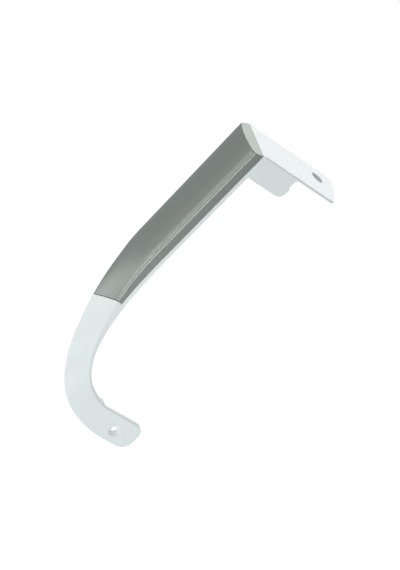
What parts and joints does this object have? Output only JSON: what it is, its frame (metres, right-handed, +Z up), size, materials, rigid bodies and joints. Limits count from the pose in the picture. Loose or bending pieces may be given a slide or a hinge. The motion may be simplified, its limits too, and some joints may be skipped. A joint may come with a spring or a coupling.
{
  "type": "fridge door handle",
  "caption": "Curved pull handle for a fridge door, with a flat top plate, a hooked lower arm ending in a screw tab, and a silver grip cover.",
  "frame": {"origin": "centre of the screw hole in the top plate, at the underside of its boss", "axes": "+X across the handle to the side with the screw tab, +Y into the door, +Z up along the grip"},
  "size_m": [0.0445, 0.1074, 0.2432],
  "materials": {
    "white_moulding": "satin white ABS moulding",
    "silver_cover": "ABS shell with satin silver metallic lacquer"
  },
  "bodies": {
    "root": {"handle_body": "white_moulding", "grip_cover": "silver_cover"}
  },
  "joints": []
}
